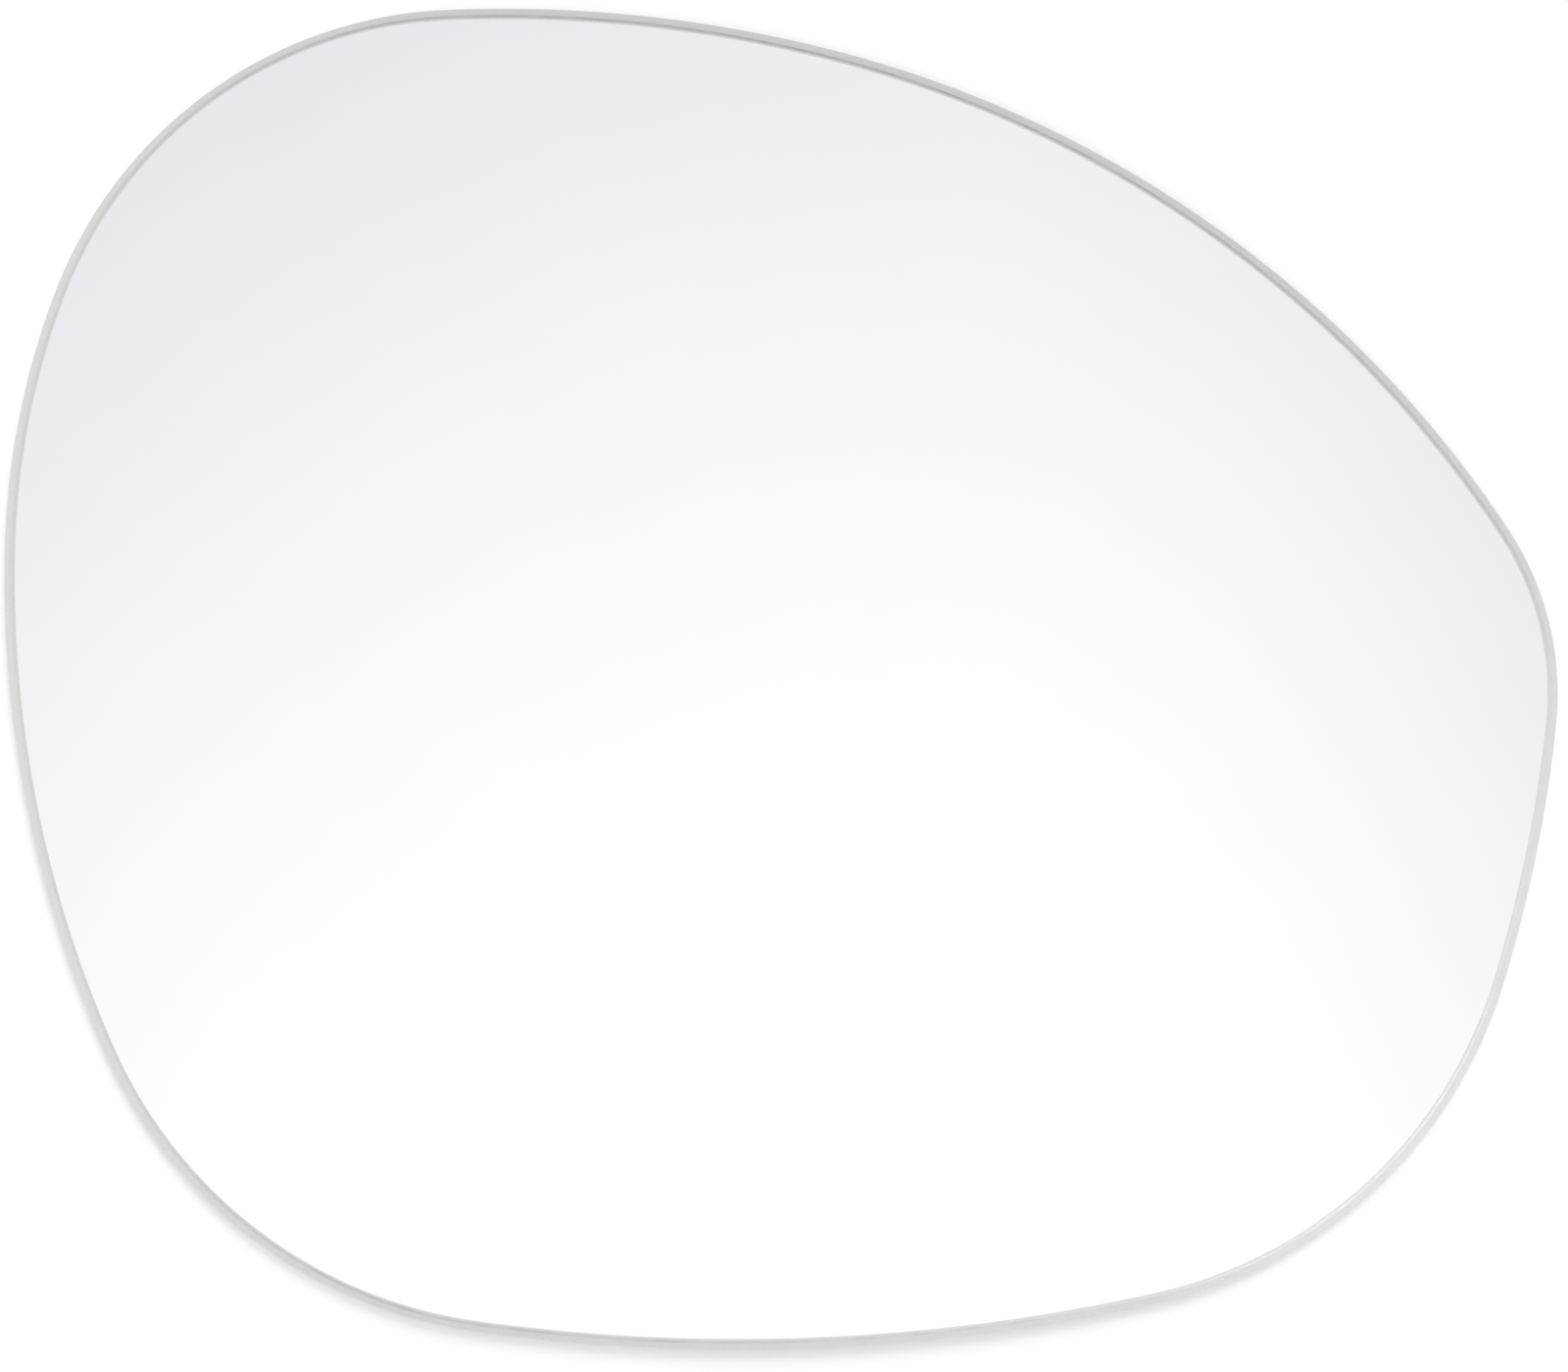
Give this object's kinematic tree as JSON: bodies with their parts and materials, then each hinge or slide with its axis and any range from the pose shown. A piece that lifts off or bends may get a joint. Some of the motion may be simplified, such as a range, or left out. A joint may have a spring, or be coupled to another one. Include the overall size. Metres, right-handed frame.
{
  "type": "car door mirror glass",
  "caption": "Convex door mirror glass with a rounded outline that slopes down to one side, a ground edge and a coated back for bonding to a mirror's backing plate.",
  "frame": {"origin": "below the middle of the outline, on the plane that the rim rests on", "axes": "+X to the right and +Y to the top of the glass as the driver sees it, +Z out of the reflecting convex front"},
  "size_m": [0.16, 0.138, 0.0045],
  "materials": {
    "mirror": "polished reflecting front, matt ground edge, grey coated back"
  },
  "bodies": {
    "root": {"mirror_glass": "mirror"}
  },
  "joints": []
}
